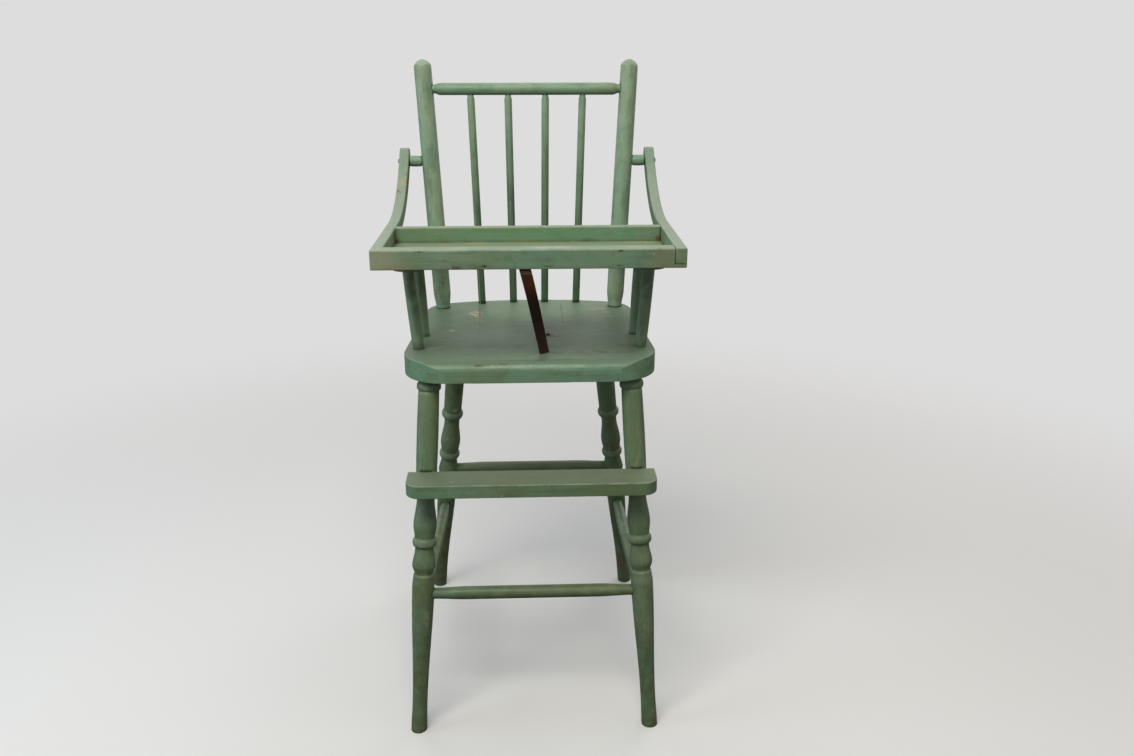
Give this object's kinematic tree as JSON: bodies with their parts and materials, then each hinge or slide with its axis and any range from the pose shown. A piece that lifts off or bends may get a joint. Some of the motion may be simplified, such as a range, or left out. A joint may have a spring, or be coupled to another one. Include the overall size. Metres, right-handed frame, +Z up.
{
  "type": "high chair",
  "caption": "Turned-wood child's high chair with spindle back, footrest and a wooden tray that swings over the head of the chair.",
  "frame": {"origin": "on the floor at the middle of the footprint", "axes": "+Z up, the chair faces -Y, +X is to the right as seen from the front"},
  "size_m": [0.4092, 0.452, 0.945],
  "materials": {
    "wood": "old sage-green paint, semi-matt, worn at the edges",
    "steel": "darkened nails and screws",
    "leather": "dark brown strap leather"
  },
  "bodies": {
    "chair": {"seat_board_left": "wood", "seat_board_middle": "wood", "seat_board_right": "wood", "front_left_leg": "wood", "front_right_leg": "wood", "rear_left_leg": "wood", "rear_right_leg": "wood", "front_stretcher": "wood", "rear_stretcher": "wood", "left_side_stretcher": "wood", "right_side_stretcher": "wood", "footrest": "wood", "left_back_post": "wood", "right_back_post": "wood", "crest_rail": "wood", "back_spindle_1": "wood", "back_spindle_2": "wood", "back_spindle_3": "wood", "back_spindle_4": "wood", "left_armrest": "wood", "right_armrest": "wood", "front_left_arm_post": "wood", "front_right_arm_post": "wood", "rear_left_arm_post": "wood", "rear_right_arm_post": "wood", "left_pivot_spacer": "wood", "right_pivot_spacer": "wood", "footrest_screws": "steel", "armrest_screws": "steel", "left_pivot_screw": "steel", "right_pivot_screw": "steel", "seat_stud": "steel"},
    "tray": {"left_tray_arm": "wood", "right_tray_arm": "wood", "tray_front_rail": "wood", "tray_rear_rail": "wood", "tray_floor": "wood", "tray_corner_nails": "steel", "tray_floor_nails": "steel", "strap_tab": "leather", "strap_tacks": "steel"},
    "strap": {"strap": "leather"}
  },
  "joints": [
    {"name": "tray_swing", "type": "hinge", "parent": "chair", "child": "tray", "pos_m": [0, 0.1531, 0.791], "axis": [-1, 0, 0], "range_deg": [0, 276]},
    {"name": "strap_swing", "type": "hinge", "parent": "tray", "child": "strap", "pos_m": [-0.01, -0.134, 0.6961], "axis": [1, 0, 0], "range_deg": [-85, 75]}
  ]
}
